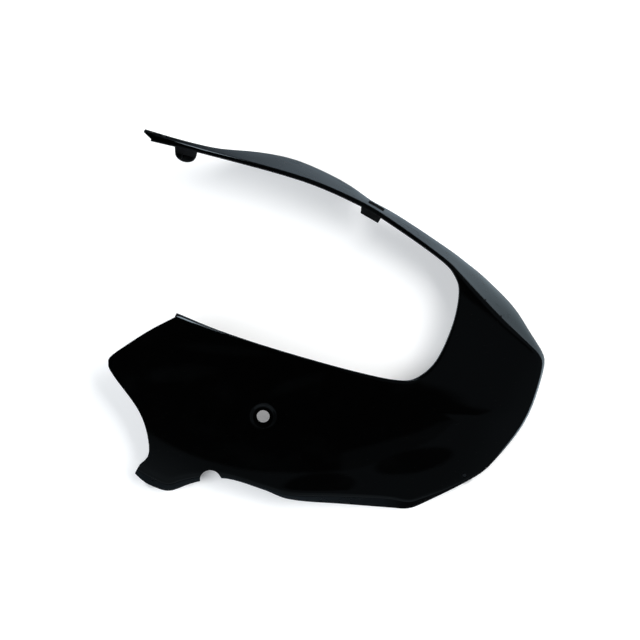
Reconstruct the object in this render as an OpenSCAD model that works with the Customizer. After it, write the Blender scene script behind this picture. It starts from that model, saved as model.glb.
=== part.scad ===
// Side panel of a motorcycle fairing, one moulding with a C-shaped opening.
// It lies with its outer face up: +X points to the front, +Y to the shoulder and +Z outwards.
// The skin is a loft. Its stations run along the C, from the tip of the upper arm (station 0)
// round the front (station 11) and along the belly to the rear end (station 24).
// Each station's section is a lip at the opening, the face, a rolled edge and the side wall.

/* [Panel] */
// Length of the face's outline along X, without the spread of the side walls
panel_length = 646; // [590:2:710]
// Width of the face's outline along Y, without the spread of the side walls
panel_width = 553; // [510:1:610]
// Height of the face's top above the floor
face_height = 90; // [86:1:110]
// Thickness of the moulded wall
wall = 2.6; // [2:0.1:3]
// Inner radius of the rolled edges
inner_radius = 0.4; // [0.2:0.1:0.6]
// Depth of the lip round the front and bottom of the opening
lip_depth = 8; // [6:0.5:14]

/* [Crown of the face] */
// Fall of the face from its top to the belly
belly_fall = 60; // [50:1:64]
// Fall of the face from its top to the front tip
front_fall = 44; // [24:1:48]
// Fall of the face from its top to the rear corner
rear_fall = 22; // [6:1:24]
// Rise of the arm from its root to its tip
arm_rise = 17; // [12:1:26]
// Height of the soft line that runs from the opening to the front
style_line = 0.8; // [0:0.1:2]

/* [Main fixing] */
// Diameter of the main fixing hole
fixing_d = 19; // [12:0.5:22]
// Diameter of the dish round the main fixing hole, at its floor
dish_d = 30; // [28:1:34]
// Depth of the dish
dish_depth = 2.5; // [2:0.5:5]
// Width of the dish's sloping side
dish_slope = 5; // [3:0.5:7]
// Height of the ribs behind the dish, below its floor's outer side
dish_rib_h = 7; // [4:0.5:10]
// Reach of the ribs behind the dish, from the hole's edge
dish_rib_reach = 26; // [22:1:34]

/* [Small fixings] */
// Diameter of the rivet hole near the belly's front corner
rivet_d = 6; // [4:0.5:8]
// Radius of the half-round notch in the rear of the belly
notch_r = 16; // [12:0.5:20]
// Length of the clip slot in the shoulder wall
slot_l = 26; // [18:1:32]
// Height of the clip slot in the shoulder wall
slot_h = 16; // [10:0.5:20]
// Reach of the ledge under the clip slot, inwards from the wall
ledge_reach = 8; // [4:0.5:12]
// Length of the small slot in the hook's rolled edge
hook_slot_l = 6; // [4:0.5:8]
// Width of the small slot in the hook's rolled edge
hook_slot_w = 3; // [2:0.5:4]

/* [Tabs] */
// Width of the cup tab at its root
cup_w = 34; // [28:1:40]
// Reach of the cup tab into the opening
cup_reach = 18; // [15:0.5:22]
// Height of the cup tab
cup_h = 11; // [9:0.5:14]
// Width of the cup tab's upper shelf
cup_shelf = 8; // [6:0.5:9]
// Width of the plain tab
plain_w = 34; // [24:1:40]
// Reach of the plain tab into the opening
plain_reach = 9; // [6:0.5:12]
// Thickness of both tabs' plates
tab_t = 2.4; // [2:0.1:3]

/* [Ribs] */
// Thickness of the stiffening ribs inside
rib_t = 1.8; // [1.2:0.1:2.4]
// Reach of the shoulder ribs along the face
rib_reach = 26; // [16:1:34]
// Reach of the shoulder ribs down the wall
rib_drop = 22; // [14:1:30]
// Reach of the belly ribs along the face
belly_rib_reach = 12; // [8:1:18]
// Reach of the belly ribs down the wall
belly_rib_drop = 9; // [6:1:12]

/* [Hidden] */

rows_per_station = 4;
face_steps = 12;
corner_steps = 3;
wall_steps = 4;
round_fn = 48;
embed = 1.2;
tab_sink = 1.3;
rim_sink = 0.4;
through = 40;
roll = wall + inner_radius;

// Top of the face: where each fall starts towards belly, front and rear, and how far it runs
belly_from = 120;
belly_run = 400;
front_from = -60;
front_run = 393;
rear_from = -60;
rear_run = 253;

// Soft line: its start, its fall for each step forward, its length, its fade at both ends, half its width
line_start = [131, -136];
line_slope = 0.07;
line_length = 215;
line_fade = 90;
line_half = 20;

// Edge of the opening, from the arm's tip to the rear: [station, [x, y]]
opening_edge = [
    [0, [-248, 262]], [2, [-174, 244]], [4, [-23, 202.5]], [5, [53, 170]], [6, [101, 142]],
    [7, [178, 88]], [8, [199, 64]], [9, [205, 40]], [10, [196.5, -5]], [11, [175, -55]],
    [12, [151, -80.5]], [13, [125, -89.5]], [15, [59, -77.5]], [18, [-56, -45.5]], [21, [-146, -16]],
    [24, [-211, 10.5]]];

// Shoulder, front and belly edge of the face: [station, [x, y]], with a third entry at a corner
outer_edge = [
    [0, [-257, 278]], [2, [-171, 251.5]], [4, [-20, 209.5]], [5, [56.5, 177]], [6, [105, 148.5]],
    [7, [183, 93.5]], [8, [209, 70]], [9, [231, 48]], [10, [275, 3]], [10.7, [310, -32]],
    [11, [331, -53]], [11.3, [333, -67]], [12, [308, -146]], [13, [247, -224], 1], [14, [198, -250]],
    [15.5, [133, -275], 1], [16.2, [101, -268]], [17, [37, -265]], [18.5, [-45, -262]],
    [19.3, [-83, -250]], [20.5, [-144, -233]], [21.3, [-189, -237]], [22.3, [-227, -249], 1],
    [23.2, [-256, -236]], [24, [-274, -225]]];

// Rear end of the face, from the opening to the hook: [share of the way across, [x, y]]
rear_edge = [
    [0, [-212, 8]], [0.15, [-249, -12]], [0.29, [-286, -36]], [0.38, [-309, -53]],
    [0.43, [-313, -64]], [0.5, [-306, -80]], [0.67, [-273, -127]], [0.75, [-261, -152]],
    [0.83, [-254.5, -181]], [0.92, [-255.5, -204]], [1, [-268, -217.5]]];
rear_bend_start = 16;

// Height of the wall's foot above the floor: [station, height]
foot_height = [
    [0, 88], [1, 80], [2, 60], [2.4, 50], [3, 12], [3.5, 0, 1], [4.7, 0, 1], [5, 10], [5.25, 20],
    [6, 14], [7, 8], [9, 9], [10, 14], [10.6, 24], [11, 25], [12, 16], [13, 10], [14, 5],
    [15.5, 0, 1], [18.5, 0, 1], [19.3, 14], [20.5, 22], [21.3, 14], [22, 0, 1], [23.2, 0, 1], [24, 6]];

// Outward spread of the wall between its top and its foot: [station, width]
foot_spread = [
    [0, 2], [1, 3], [2, 6], [2.4, 9], [3, 20], [3.6, 25], [4, 23], [4.7, 18], [5, 14], [5.25, 10],
    [6, 13], [7, 16], [8, 19], [9, 22], [10, 22], [10.6, 12], [11, 4], [12, 2], [14, 3], [15.5, 9],
    [16.2, 13], [17, 11], [18.5, 7], [19.3, 4], [20.5, 3], [21.3, 6], [22.3, 9], [23.2, 10], [24, 6]];

// Extra radius of the rolled edge beyond the least one: [station, radius]
extra_roll = [
    [0, 0], [7, 0], [8.5, 2], [10.5, 3], [11, 1.5], [15, 1.5], [17, 3], [20, 2], [22, 8], [24, 9]];

// Lip along the opening beyond its rolled edge: [station, share of the lip's depth]
lip_share = [[0, 0.35], [7, 0.35], [8, 1], [23, 1], [24, 0.6]];

last_station = 24;
rail_step = 0.1;
fixing_at = [-84, -143];
rivet_at = [216, -232];
notch_at = [-163, -239];
hook_slot_at = [-249, -238];
hook_slot_turn = -25;
cup_station = 1.53;
cup_side = 7.2;
cup_near_side = 4.3;
cup_narrow = 0.9;
cup_skew = 0.08;
plain_station = 5.45;
slot_station = 5.5;
slot_down = 0.66;
shoulder_ribs = [9.4, 9.9, 10.4, 10.9];
belly_ribs = [14.5, 16.5, 17.3, 18.1];

// Cubic curve through rows of [place, value]; a row with a third entry keeps a sharp corner
function span(rows, k, i = 0) = i >= len(rows) - 2 || k < rows[i + 1][0] ? i : span(rows, k, i + 1);
function chord(rows, i, j) = (rows[j][1] - rows[i][1]) / (rows[j][0] - rows[i][0]);
function slope_after(rows, i) =
    i == 0 || len(rows[i]) > 2 ? chord(rows, i, i + 1) : chord(rows, i - 1, i + 1);
function slope_before(rows, i) =
    i == len(rows) - 1 || len(rows[i]) > 2 ? chord(rows, i - 1, i) : chord(rows, i - 1, i + 1);
function curve(rows, k) =
    let (i = span(rows, k), h = rows[i + 1][0] - rows[i][0], t = (k - rows[i][0]) / h)
    (1 + 2 * t) * (1 - t) ^ 2 * rows[i][1] + t * (1 - t) ^ 2 * h * slope_after(rows, i)
    + t ^ 2 * (3 - 2 * t) * rows[i + 1][1] - t ^ 2 * (1 - t) * h * slope_before(rows, i + 1);

// Plan places and directions
function drawn(axis) =
    let (all = [for (row = concat(outer_edge, rear_edge)) row[1][axis]]) max(all) - min(all);
stretch = [panel_length / drawn(0), panel_width / drawn(1)];
function size_up(p) = [p[0] * stretch[0], p[1] * stretch[1]];
function unit(v) = v / norm(v);
function mix(a, b, t) = a * (1 - t) + b * t;
function inner_at(k) = size_up(curve(opening_edge, k));
function outer_at(k) = size_up(curve(outer_edge, k));
function along(k, outer) =
    let (a = max(k - rail_step, 0), b = min(k + rail_step, last_station))
    unit(outer ? outer_at(b) - outer_at(a) : inner_at(b) - inner_at(a));
function outward(k) = let (t = along(k, true)) [-t[1], t[0]];
function into_opening(k) = let (t = along(k, false)) [t[1], -t[0]];

// Height of the face over the plan: a crown that falls away towards belly, front and rear
function fall(d, reach) = (max(d, 0) / reach) ^ 2;
function held(t) = max(0, min(1, t));
function line_bump(x, y) =
    let (p = x - line_start[0], q = y - line_start[1] + line_slope * p,
        taper = held(p / line_fade) * held((line_length - p) / line_fade))
    style_line * taper * exp(-(q / line_half) ^ 2);
function height(p) =
    let (x = p[0] / stretch[0], y = p[1] / stretch[1], tip = opening_edge[0][1])
    face_height - belly_fall * fall(belly_from - y, belly_run) - front_fall * fall(x - front_from, front_run)
    - rear_fall * fall(rear_from - x, rear_run) + line_bump(x, y)
    + arm_rise * max(0, y - belly_from) / (tip[1] - belly_from) * max(0, x / tip[0]);
function face_normal(p) =
    unit([height(p - [1, 0]) - height(p + [1, 0]), height(p - [0, 1]) - height(p + [0, 1]), 2]);

// Face point at station k and share v of the way from the opening to the outer edge
function roll_r(k) = roll + curve(extra_roll, k);
rear_ends = [size_up(rear_edge[0][1]), size_up(rear_edge[len(rear_edge) - 1][1])];
function rear_bend(k, v) =
    let (w = max(0, (k - rear_bend_start) / (last_station - rear_bend_start)) ^ 2)
    w * (size_up(curve(rear_edge, v)) - mix(rear_ends[0], rear_ends[1], v));
function face_plan(k, v) =
    mix(inner_at(k) - roll * into_opening(k), outer_at(k) - roll_r(k) * outward(k), v) + rear_bend(k, v);

// Points of one side of the skin at station k: inset 0 is the outer side, inset wall the inner one
function lip_points(k, inset) =
    let (m = into_opening(k), c = inner_at(k) - roll * m, top = height(c) - roll, r = roll - inset,
        bottom = top - (lip_depth - roll) * curve(lip_share, k))
    concat([[each c + r * m, bottom]],
        [for (s = [corner_steps:-1:1]) let (a = 90 * s / corner_steps)
            [each c + r * sin(a) * m, top + r * cos(a)]]);
function face_points(k, inset) =
    [for (s = [0:face_steps]) let (p = face_plan(k, s / face_steps)) [each p, height(p) - inset]];
function wall_points(k, inset) =
    let (n = outward(k), c = face_plan(k, 1), r = roll_r(k), top = height(c) - r,
        foot = curve(foot_height, k), spread = curve(foot_spread, k), lean = atan2(spread, top - foot),
        near = r - inset, start = [near * cos(lean), top + near * sin(lean)],
        end = [r + spread - inset / cos(lean), foot])
    concat([for (s = [1:corner_steps]) let (a = (90 - lean) * s / corner_steps)
            [each c + near * sin(a) * n, top + near * cos(a)]],
        [for (s = [1:wall_steps]) let (w = mix(start, end, s / wall_steps)) [each c + w[0] * n, w[1]]]);
function section(k, inset) = concat(lip_points(k, inset), face_points(k, inset), wall_points(k, inset));

stations = [for (i = [0:last_station * rows_per_station]) i / rows_per_station];
outer_rows = [for (k = stations) section(k, 0)];
inner_rows = [for (k = stations) section(k, wall)];
row_count = len(stations);
row_length = len(outer_rows[0]);
skin_points = concat([for (row = outer_rows) each row], [for (row = inner_rows) each row]);

// The outline's middle, so that the panel stands centred on the origin
function middle(axis) =
    let (all = [for (p = skin_points) p[axis]]) (min(all) + max(all)) / 2;
centre = [middle(0), middle(1)];

function at(side, i, j) = (side * row_count + i) * row_length + j;
function quad(a, b, c, d) = [[a, c, b], [a, d, c]];
skin_faces = concat(
    [for (i = [0:row_count - 2], j = [0:row_length - 2])
        each quad(at(0, i, j), at(0, i + 1, j), at(0, i + 1, j + 1), at(0, i, j + 1))],
    [for (i = [0:row_count - 2], j = [0:row_length - 2])
        each quad(at(1, i, j), at(1, i, j + 1), at(1, i + 1, j + 1), at(1, i + 1, j))],
    [for (i = [0:row_count - 2])
        each quad(at(0, i, 0), at(1, i, 0), at(1, i + 1, 0), at(0, i + 1, 0))],
    [for (i = [0:row_count - 2], j = [row_length - 1])
        each quad(at(0, i, j), at(0, i + 1, j), at(1, i + 1, j), at(1, i, j))],
    [for (j = [0:row_length - 2])
        each quad(at(0, 0, j), at(0, 0, j + 1), at(1, 0, j + 1), at(1, 0, j))],
    [for (i = [row_count - 1], j = [0:row_length - 2])
        each quad(at(0, i, j), at(1, i, j), at(1, i, j + 1), at(0, i, j + 1))]);

module skin() polyhedron(skin_points, skin_faces, convexity = 10);

// Places its children on the face at a plan point, with +Z along the face's normal
module on_face(place) {
    p = size_up(place);
    n = face_normal(p);
    translate([p[0], p[1], height(p)]) rotate([0, acos(n[2]), atan2(n[1], n[0])]) children();
}

// Places its children at the opening's edge: +X runs along the edge and +Y into the opening
module at_opening(k) {
    p = inner_at(k);
    m = into_opening(k);
    translate([p[0], p[1], height(p - roll * m)]) rotate(atan2(m[1], m[0]) - 90) children();
}

// Places its children at the outer edge: +X points outwards across the edge
module at_edge(k, share) {
    p = face_plan(k, 1);
    n = outward(k);
    foot = curve(foot_height, k);
    reach = roll_r(k) + share * curve(foot_spread, k);
    translate([p[0] + reach * n[0], p[1] + reach * n[1], mix(height(p), foot, share)])
        rotate(atan2(n[1], n[0])) children();
}

// Pressed dish that carries the main fixing hole, turned about the hole's axis
module fixing_dish() {
    floor_r = dish_d / 2;
    rim_r = floor_r + dish_slope;
    rotate_extrude($fn = round_fn) polygon([
        [fixing_d / 2, -dish_depth - wall], [floor_r + embed, -dish_depth - wall],
        [rim_r + embed, -wall + rim_sink], [rim_r + embed, -2 * rim_sink], [rim_r, -rim_sink],
        [floor_r, -dish_depth], [fixing_d / 2, -dish_depth]]);
    for (turn = [45:90:315]) rotate([90, 0, turn]) translate([fixing_d / 2, 0, -rib_t / 2])
        linear_extrude(rib_t) dish_rib();
}

// Side view of one rib behind the dish: from the hole's edge it runs under the floor and up to the face
module dish_rib() {
    start = 2 * embed;
    rim = dish_d / 2 + dish_slope + embed - fixing_d / 2;
    polygon([[start, -dish_depth - dish_rib_h], [start, -dish_depth - wall / 2],
        [dish_d / 2 - fixing_d / 2, -dish_depth - wall / 2], [rim, -wall / 2],
        [dish_rib_reach, -wall / 2], [dish_rib_reach, -wall - embed]]);
}

// Tab moulded as two trays, one open below at its root and one open above with a web across it
module cup_tab() {
    tray = cup_reach - cup_shelf;
    web_x = cup_w / 12;
    translate([0, 0, -cup_h - tab_sink]) {
        difference() {
            linear_extrude(cup_h) cup_outline(0);
            intersection() {
                translate([0, 0, tab_t]) linear_extrude(cup_h) cup_outline(tab_t);
                translate([-cup_w, cup_shelf, 0]) cube([2 * cup_w, cup_reach, 2 * cup_h]);
            }
            intersection() {
                translate([0, 0, -tab_t]) linear_extrude(cup_h) cup_outline(tab_t);
                translate([-cup_w, tab_t, -cup_h]) cube([2 * cup_w, cup_shelf - 2 * tab_t, 2 * cup_h]);
            }
        }
        translate([web_x, cup_shelf - tab_t / 2, tab_t / 2]) cube([rib_t, tray, cup_h - tab_t]);
    }
}

// Rounded outline of the cup tab, inset all round
module cup_outline(inset) {
    half = cup_w / 2 - inset;
    round = cup_reach - inset - cup_side;
    polygon(concat([[half, -embed + inset], [-half, -embed + inset], [-half, cup_side]],
        [for (a = [160:-20:20]) [half * (cup_narrow * cos(a) - cup_skew), cup_side + round * sin(a)]],
        [[half * cup_narrow, cup_near_side]]));
}

// Ledge that closes the bottom of the clip slot and carries the clip
module slot_ledge() {
    translate([-ledge_reach, -slot_l / 2 - embed, -slot_h / 2 - embed])
        cube([ledge_reach + embed, slot_l + 2 * embed, tab_t + embed]);
}

module plain_tab() {
    translate([0, 0, -tab_t - tab_sink]) linear_extrude(tab_t) polygon([
        [-plain_w / 2, -embed], [-plain_w / 2, plain_reach],
        [plain_w / 2 - plain_reach / 2, plain_reach], [plain_w / 2, -embed]]);
}

// Triangular rib in the corner between the face and the side wall
module edge_rib(k, reach, drop) {
    base = face_plan(k, 1);
    rise = height(base - reach * outward(k)) - height(base);
    root = roll_r(k) - wall + embed;
    at_edge(k, 0) translate([-roll_r(k), rib_t / 2, -wall]) rotate([90, 0, 0])
        linear_extrude(rib_t) polygon([[-reach, rise + embed], [0, embed], [root, -embed], [root, -drop]]);
}

module fairing_panel() {
    color("#101216") translate([-centre[0], -centre[1], 0]) {
        difference() {
            skin();
            on_face(fixing_at) translate([0, 0, -through / 2])
                cylinder(d = dish_d + 2 * dish_slope, h = through, $fn = round_fn);
            on_face(rivet_at) translate([0, 0, -through / 2])
                cylinder(d = rivet_d, h = through, $fn = round_fn);
            translate([each size_up(notch_at), -embed]) cylinder(r = notch_r, h = face_height, $fn = round_fn);
            at_edge(slot_station, slot_down) translate([-through / 2, -slot_l / 2, -slot_h / 2])
                cube([through, slot_l, slot_h]);
            translate([each size_up(hook_slot_at), 0]) rotate(hook_slot_turn)
                translate([-hook_slot_l / 2, -hook_slot_w / 2, 0]) cube([hook_slot_l, hook_slot_w, through]);
        }
        on_face(fixing_at) fixing_dish();
        at_edge(slot_station, slot_down) slot_ledge();
        at_opening(cup_station) cup_tab();
        at_opening(plain_station) plain_tab();
        for (k = shoulder_ribs) edge_rib(k, rib_reach, rib_drop);
        for (k = belly_ribs) edge_rib(k, belly_rib_reach, belly_rib_drop);
    }
}

fairing_panel();
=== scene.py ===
"""Side panel of a motorcycle fairing: glossy painted skin, moulded tabs and ribs, and a studio stage."""

import math
from collections import namedtuple

import bmesh
import bpy
import numpy as np
from bpy.props import FloatProperty, FloatVectorProperty, IntProperty, PointerProperty
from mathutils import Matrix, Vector


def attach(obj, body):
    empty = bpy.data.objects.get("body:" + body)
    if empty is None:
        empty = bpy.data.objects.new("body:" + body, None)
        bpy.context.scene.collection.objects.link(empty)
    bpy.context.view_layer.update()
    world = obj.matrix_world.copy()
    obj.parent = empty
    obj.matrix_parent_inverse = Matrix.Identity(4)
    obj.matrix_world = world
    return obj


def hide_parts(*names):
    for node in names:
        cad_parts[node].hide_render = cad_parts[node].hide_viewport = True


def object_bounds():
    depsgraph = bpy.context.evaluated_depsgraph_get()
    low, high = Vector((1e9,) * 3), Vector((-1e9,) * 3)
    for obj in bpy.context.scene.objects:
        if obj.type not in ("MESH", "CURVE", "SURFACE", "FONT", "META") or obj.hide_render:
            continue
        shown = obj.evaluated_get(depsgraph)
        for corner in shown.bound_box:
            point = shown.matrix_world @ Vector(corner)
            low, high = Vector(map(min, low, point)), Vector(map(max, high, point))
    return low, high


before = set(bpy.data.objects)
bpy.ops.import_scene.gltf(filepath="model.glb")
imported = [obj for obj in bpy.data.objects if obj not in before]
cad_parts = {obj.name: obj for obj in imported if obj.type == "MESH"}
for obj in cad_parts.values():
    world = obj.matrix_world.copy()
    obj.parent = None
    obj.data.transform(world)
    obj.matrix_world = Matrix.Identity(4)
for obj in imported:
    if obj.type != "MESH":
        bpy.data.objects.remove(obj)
cad_low, cad_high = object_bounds()

bl_info = {
    "name": "Fairing Side Panel",
    "version": (1, 0, 0),
    "blender": (4, 5, 0),
    "location": "View3D > Sidebar > Fairing",
    "description": "Builds a glossy motorcycle side panel with its tabs, ribs and studio",
    "category": "Add Mesh",
}

MM = 0.001
UP = np.array([0, 0, 1.0])
NODE = "fairing_panel"
BODY = "root"

# Edge of the opening, from the arm's tip to the rear: (station, (x, y)) in millimetres
OPENING_EDGE = [
    (0, (-248, 262)), (2, (-174, 244)), (4, (-23, 202.5)), (5, (53, 170)), (6, (101, 142)),
    (7, (178, 88)), (8, (199, 64)), (9, (205, 40)), (10, (196.5, -5)), (11, (175, -55)),
    (12, (151, -80.5)), (13, (125, -89.5)), (15, (59, -77.5)), (18, (-56, -45.5)),
    (21, (-146, -16)), (24, (-211, 10.5)),
]
LAST_STATION = 24

# Shoulder, front and belly edge of the face, with a third entry at a corner
OUTER_EDGE = [
    (0, (-257, 278)), (2, (-171, 251.5)), (4, (-20, 209.5)), (5, (56.5, 177)), (6, (105, 148.5)),
    (7, (183, 93.5)), (8, (209, 70)), (9, (231, 48)), (10, (275, 3)), (10.7, (310, -32)),
    (11, (331, -53)), (11.3, (333, -67)), (12, (308, -146)), (13, (247, -224), 1), (14, (198, -250)),
    (15.5, (133, -275), 1), (16.2, (101, -268)), (17, (37, -265)), (18.5, (-45, -262)),
    (19.3, (-83, -250)), (20.5, (-144, -233)), (21.3, (-189, -237)), (22.3, (-227, -249), 1),
    (23.2, (-256, -236)), (24, (-274, -225)),
]

# Rear end of the face, from the opening to the hook: (share of the way across, (x, y))
REAR_EDGE = [
    (0, (-212, 8)), (0.15, (-249, -12)), (0.29, (-286, -36)), (0.38, (-309, -53)), (0.43, (-313, -64)),
    (0.5, (-306, -80)), (0.67, (-273, -127)), (0.75, (-261, -152)), (0.83, (-254.5, -181)),
    (0.92, (-255.5, -204)), (1, (-268, -217.5)),
]
REAR_BEND_START = 16

# Height of the wall's foot above the floor: (station, height)
FOOT_HEIGHT = [
    (0, 88), (1, 80), (2, 60), (2.4, 50), (3, 12), (3.5, 0, 1), (4.7, 0, 1), (5, 10), (5.25, 20), (6, 14),
    (7, 8), (9, 9), (10, 14), (10.6, 24), (11, 25), (12, 16), (13, 10), (14, 5), (15.5, 0, 1),
    (18.5, 0, 1), (19.3, 14), (20.5, 22), (21.3, 14), (22, 0, 1), (23.2, 0, 1), (24, 6),
]

# Outward spread of the wall between its top and its foot: (station, width)
FOOT_SPREAD = [
    (0, 2), (1, 3), (2, 6), (2.4, 9), (3, 20), (3.6, 25), (4, 23), (4.7, 18), (5, 14), (5.25, 10), (6, 13),
    (7, 16), (8, 19), (9, 22), (10, 22), (10.6, 12), (11, 4), (12, 2), (14, 3), (15.5, 9), (16.2, 13),
    (17, 11), (18.5, 7), (19.3, 4), (20.5, 3), (21.3, 6), (22.3, 9), (23.2, 10), (24, 6),
]

# Extra radius of the rolled edge beyond the least one: (station, radius)
EXTRA_ROLL = [
    (0, 0), (6.5, 0, 1), (8, 5), (10, 9), (11, 2), (14, 2), (15.5, 4), (17.5, 5), (20, 2), (22, 8), (24, 9),
]

# Depth of the lip along the opening: (station, share of the full depth)
LIP_SHARE = [(0, 0.35), (7, 0.35), (8, 1), (23, 1), (24, 0.6)]

# Bulge of the wall's middle: (station, share of the wall's spread)
WALL_BULGE = [(0, 0.07), (6.5, 0.07, 1), (8, 0.13), (10.5, 0.13), (11.5, 0.05), (24, 0.05)]

# Extra radius of the rounding along the opening, which grows to the rear corner: (station, radius)
EXTRA_LIP = [(0, 0), (20, 0, 1), (22.5, 3), (24, 4)]

# The face falls away past these places, by its whole fall over each run, in millimetres
FALL_X, FALL_Y = -60, 120
BELLY_RUN, FRONT_RUN, REAR_RUN = 400, 393, 253

# The soft line on the face: where it starts, its length, the length of its fade, the height of its
# start in plan, its slope and its width, in millimetres
LINE_START, LINE_LENGTH, LINE_FADE = 131, 215, 90
LINE_Y, LINE_SLOPE, LINE_WIDTH = -136, -0.07, 20

# Rows over which the rails, and the rolled edge's radius and direction, are softened
RAIL_BLUR, ROLL_BLUR = 2, 3

# Rounding of the wall's foot and of the lip's end: share of the thickness and rise of the corners
CUT_SHARE, CUT_RISE = 0.18, 0.35 * MM

# Rounding of the skin's two ends: share of the thickness left and push outwards
END_SHARE, END_PUSH = 0.62, 0.35 * MM

# Closer rows and points round the dish: from and to as shares of the way, and how many times closer
DENSE_ROWS = (18.35 / LAST_STATION, 20.05 / LAST_STATION, 2.4)
DENSE_SHARES = (0.42, 0.68, 3.0)
DENSE_FADE = 0.04

# How deep roots reach into the skin, and how far the tabs' tops lie below the face
ROOT_SINK, TAB_BELOW = 1.2 * MM, 1.3 * MM

# The cup tab: height of the cup, depth of its root shelf, straight side, neck and end of the web
CUP_HEIGHT, CUP_SHELF = 11 * MM, 8 * MM
CUP_SIDE, CUP_NECK, WEB_END = 7.2 * MM, 4.3 * MM, 8.8 * MM

# The cup tab's arc as shares of its half width: radius and offset from the middle
CUP_ARC, CUP_OFFSET = 0.9, -0.08

# Ribs along the outer edge: (stations, reach under the face, drop down the wall), and their blunt tips
EDGE_RIBS = (
    ((9.4, 9.9, 10.4, 10.9), 26 * MM, 22 * MM),
    ((14.5, 16.5, 17.3, 18.1), 12 * MM, 9 * MM),
)
RIB_TIP_SHARE, RIB_TIP_DROP = 0.96, 1 * MM

# Gussets behind the dish: directions, reach from the hole's edge and drop below the dish
GUSSET_TURNS = np.radians([45, 135, 225, 315])
GUSSET_REACH, GUSSET_DROP = 26 * MM, 7 * MM

# The clip slot's corner radius, and the reach of its ledge to both sides of the wall
SLOT_CORNER = 3 * MM
LEDGE_IN, LEDGE_OUT = 8 * MM, 1.6 * MM

# The hook's small slot: half its length, half its width and its turn
HOOK_SLOT_LONG, HOOK_SLOT_WIDE, HOOK_SLOT_TURN = 3 * MM, 1.5 * MM, math.radians(-25)

# Reach of the cutting tools along their axes: (low, high)
FIXING_CUT, RIVET_CUT, CLIP_CUT = (-20 * MM, 20 * MM), (-15 * MM, 15 * MM), (-20 * MM, 20 * MM)
NOTCH_CUT, HOOK_CUT = (-5 * MM, 60 * MM), (0, 40 * MM)

# Steps of a section's lip, rolled edge and wall, as few as the solid model's or fine and softened
Detail = namedtuple("Detail", "lip_steps roll_steps wall_steps fine")
SOLID_DETAIL = Detail(lip_steps=3, roll_steps=3, wall_steps=4, fine=False)
SKIN_DETAIL = Detail(lip_steps=9, roll_steps=8, wall_steps=14, fine=True)


class PanelSizes(bpy.types.PropertyGroup):
    """Sizes of the moulding: the solid model's, but for the soft line's and the clip slot's height."""

    wall: FloatProperty(
        name="Wall", description="Thickness of the moulded wall",
        default=2.6 * MM, min=1 * MM, max=5 * MM, unit="LENGTH")
    inner_radius: FloatProperty(
        name="Inner radius", description="Inner radius of the rolled edges",
        default=0.4 * MM, min=0.1 * MM, max=2 * MM, unit="LENGTH")
    lip_depth: FloatProperty(
        name="Lip depth", description="Depth of the lip round the opening",
        default=8 * MM, min=4 * MM, max=14 * MM, unit="LENGTH")
    face_height: FloatProperty(
        name="Face height", description="Height of the face's top above the floor",
        default=90 * MM, min=60 * MM, max=120 * MM, unit="LENGTH")
    belly_fall: FloatProperty(
        name="Belly fall", description="Fall of the face from its top to the belly",
        default=60 * MM, min=0, max=100 * MM, unit="LENGTH")
    front_fall: FloatProperty(
        name="Front fall", description="Fall of the face from its top to the front tip",
        default=44 * MM, min=0, max=80 * MM, unit="LENGTH")
    rear_fall: FloatProperty(
        name="Rear fall", description="Fall of the face from its top to the rear corner",
        default=22 * MM, min=0, max=40 * MM, unit="LENGTH")
    arm_rise: FloatProperty(
        name="Arm rise", description="Rise of the arm from its root to its tip",
        default=17 * MM, min=0, max=30 * MM, unit="LENGTH")
    style_line: FloatProperty(
        name="Style line", description="Height of the soft line from the opening to the front",
        default=0.35 * MM, min=0, max=6 * MM, unit="LENGTH")
    dish_diameter: FloatProperty(
        name="Dish diameter", description="Diameter of the dish at its floor",
        default=30 * MM, min=20 * MM, max=40 * MM, unit="LENGTH")
    dish_slope: FloatProperty(
        name="Dish slope", description="Width of the dish's sloping side",
        default=5 * MM, min=2 * MM, max=10 * MM, unit="LENGTH")
    dish_depth: FloatProperty(
        name="Dish depth", description="Depth of the dish",
        default=2.5 * MM, min=1 * MM, max=8 * MM, unit="LENGTH")
    fixing_diameter: FloatProperty(
        name="Fixing hole", description="Diameter of the main fixing hole",
        default=19 * MM, min=8 * MM, max=24 * MM, unit="LENGTH")
    rivet_diameter: FloatProperty(
        name="Rivet hole", description="Diameter of the rivet hole",
        default=6 * MM, min=3 * MM, max=10 * MM, unit="LENGTH")
    notch_radius: FloatProperty(
        name="Notch radius", description="Radius of the half-round notch in the belly",
        default=16 * MM, min=8 * MM, max=24 * MM, unit="LENGTH")
    slot_length: FloatProperty(
        name="Slot length", description="Length of the clip slot in the shoulder wall",
        default=26 * MM, min=10 * MM, max=40 * MM, unit="LENGTH")
    slot_height: FloatProperty(
        name="Slot height", description="Height of the clip slot and its pocket in the shoulder wall",
        default=34 * MM, min=6 * MM, max=40 * MM, unit="LENGTH")
    tab_width: FloatProperty(
        name="Tab width", description="Width of both tabs at their root",
        default=34 * MM, min=20 * MM, max=44 * MM, unit="LENGTH")
    cup_reach: FloatProperty(
        name="Cup reach", description="Reach of the cup tab into the opening",
        default=18 * MM, min=12 * MM, max=24 * MM, unit="LENGTH")
    plain_reach: FloatProperty(
        name="Plain reach", description="Reach of the plain tab into the opening",
        default=9 * MM, min=5 * MM, max=14 * MM, unit="LENGTH")
    tab_thickness: FloatProperty(
        name="Tab thickness", description="Thickness of the tabs' plates",
        default=2.4 * MM, min=1 * MM, max=4 * MM, unit="LENGTH")
    rib_thickness: FloatProperty(
        name="Rib thickness", description="Thickness of the stiffening ribs",
        default=1.8 * MM, min=1 * MM, max=4 * MM, unit="LENGTH")
    rows_per_station: IntProperty(
        name="Rows", description="Rows of points for each station of the loft", default=14, min=4, max=30)
    face_steps: IntProperty(
        name="Face steps", description="Points across the face", default=66, min=12, max=120)


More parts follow.
